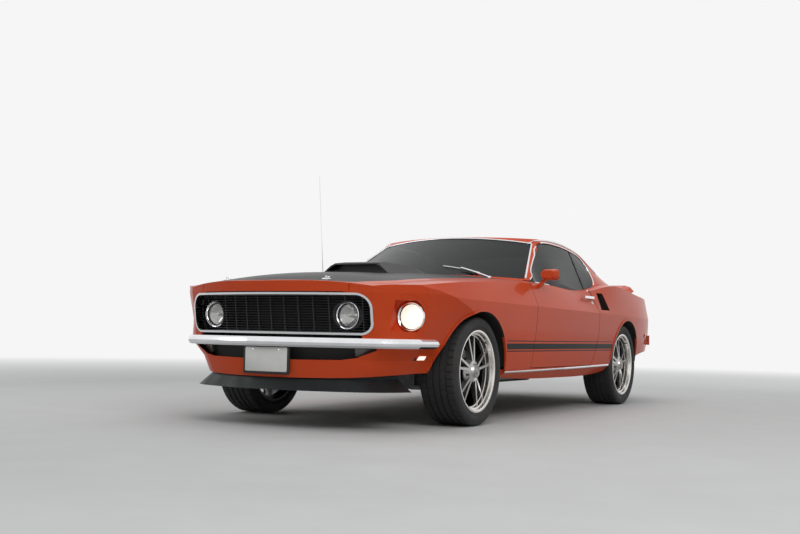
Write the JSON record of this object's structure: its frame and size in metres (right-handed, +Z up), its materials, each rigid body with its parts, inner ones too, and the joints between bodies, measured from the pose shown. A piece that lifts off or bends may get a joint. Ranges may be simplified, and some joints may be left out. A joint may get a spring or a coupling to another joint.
{
  "type": "fastback muscle car",
  "caption": "Two-door fastback coupe with long hood, hood scoop, chin and deck spoilers, opening doors, hood and trunk lid, steered and rolling wheels.",
  "frame": {"origin": "on the ground below the middle of the car's length and width", "axes": "+X is the car's left side, -Y is the front, +Z is up"},
  "size_m": [1.972, 4.7823, 1.6809],
  "materials": {
    "paint": "orange-red gloss paint",
    "black_paint": "black paint",
    "underbody": "dark underbody coating",
    "glass": "clear, slightly smoked",
    "grille_black": "matt black",
    "chrome": "polished",
    "lamp_glass": "clear lamp glass",
    "spoiler_black": "dark grey",
    "lamp_amber": "amber lenses, the rear ones red",
    "lamp_red": "red lens",
    "cast_iron": "painted iron",
    "steel": "dull steel",
    "exhaust_steel": "aluminised steel",
    "seat_trim": "black vinyl",
    "cabin_plastic": "black",
    "bright_steel": "bright",
    "wheel_alloy": "grey cast alloy with a polished lip",
    "tyre": "black rubber"
  },
  "bodies": {
    "body": {"floor_pan": "underbody", "front_frame": "underbody", "front_fenders": "paint", "headlamp_surrounds": "paint", "quarter_panels": "paint", "rocker_panels": "paint", "roof_shell": "paint", "cowl_panel": "black_paint", "windshield": "glass", "rear_window": "glass", "quarter_glass": "glass", "grille": "grille_black", "grille_trim": "chrome", "headlamps": "lamp_glass", "front_bumper": "chrome", "front_valance": "paint", "chin_spoiler": "spoiler_black", "marker_lamps": "lamp_amber", "tail_panel": "paint", "tail_lamps": "lamp_red", "rear_bumper": "chrome", "engine": "cast_iron", "front_suspension": "steel", "rear_axle": "steel", "exhaust": "exhaust_steel", "front_seats": "seat_trim", "rear_seat": "seat_trim", "dashboard": "cabin_plastic", "steering_wheel": "cabin_plastic", "wipers": "spoiler_black", "antenna": "bright_steel"},
    "door_left": {"door_left": "paint", "door_glass_left": "glass", "mirror_left": "paint", "door_handle_left": "chrome"},
    "door_right": {"door_right": "paint", "door_glass_right": "glass", "mirror_right": "paint", "door_handle_right": "chrome"},
    "hood": {"hood": "paint", "hood_scoop": "black_paint"},
    "trunk_lid": {"trunk_lid": "paint", "rear_spoiler": "paint"},
    "knuckle_left": {"knuckle_left": "steel"},
    "knuckle_right": {"knuckle_right": "steel"},
    "wheel_front_left": {"rim_front_left": "wheel_alloy", "tyre_front_left": "tyre"},
    "wheel_front_right": {"rim_front_right": "wheel_alloy", "tyre_front_right": "tyre"},
    "wheel_rear_left": {"rim_rear_left": "wheel_alloy", "tyre_rear_left": "tyre"},
    "wheel_rear_right": {"rim_rear_right": "wheel_alloy", "tyre_rear_right": "tyre"}
  },
  "joints": [
    {"name": "door_left_hinge", "type": "hinge", "parent": "body", "child": "door_left", "pos_m": [0.905, -0.602, 0.62], "axis": [0, 0, -1], "range_deg": [0, 65]},
    {"name": "door_right_hinge", "type": "hinge", "parent": "body", "child": "door_right", "pos_m": [-0.905, -0.602, 0.62], "axis": [0, 0, 1], "range_deg": [0, 65]},
    {"name": "hood_hinge", "type": "hinge", "parent": "body", "child": "hood", "pos_m": [0, -0.788, 0.957], "axis": [-1, 0, 0], "range_deg": [0, 45]},
    {"name": "trunk_hinge", "type": "hinge", "parent": "body", "child": "trunk_lid", "pos_m": [0, 1.702, 1.004], "axis": [1, 0, 0], "range_deg": [0, 60]},
    {"name": "steering_left", "type": "hinge", "parent": "body", "child": "knuckle_left", "pos_m": [0.683, -1.4, 0.325], "axis": [0, 0, 1], "range_deg": [-30, 30]},
    {"name": "steering_right", "type": "hinge", "parent": "body", "child": "knuckle_right", "pos_m": [-0.683, -1.4, 0.325], "axis": [0, 0, 1], "range_deg": [-30, 30]},
    {"name": "spin_front_left", "type": "hinge", "parent": "knuckle_left", "child": "wheel_front_left", "pos_m": [0.743, -1.4, 0.325], "axis": [1, 0, 0], "continuous": true},
    {"name": "spin_front_right", "type": "hinge", "parent": "knuckle_right", "child": "wheel_front_right", "pos_m": [-0.743, -1.4, 0.325], "axis": [1, 0, 0], "continuous": true},
    {"name": "spin_rear_left", "type": "hinge", "parent": "body", "child": "wheel_rear_left", "pos_m": [0.743, 1.343, 0.325], "axis": [1, 0, 0], "continuous": true},
    {"name": "spin_rear_right", "type": "hinge", "parent": "body", "child": "wheel_rear_right", "pos_m": [-0.743, 1.343, 0.325], "axis": [1, 0, 0], "continuous": true}
  ],
  "couplings": [
    {"joint": "steering_right", "follows": "steering_left", "ratio": 1}
  ]
}
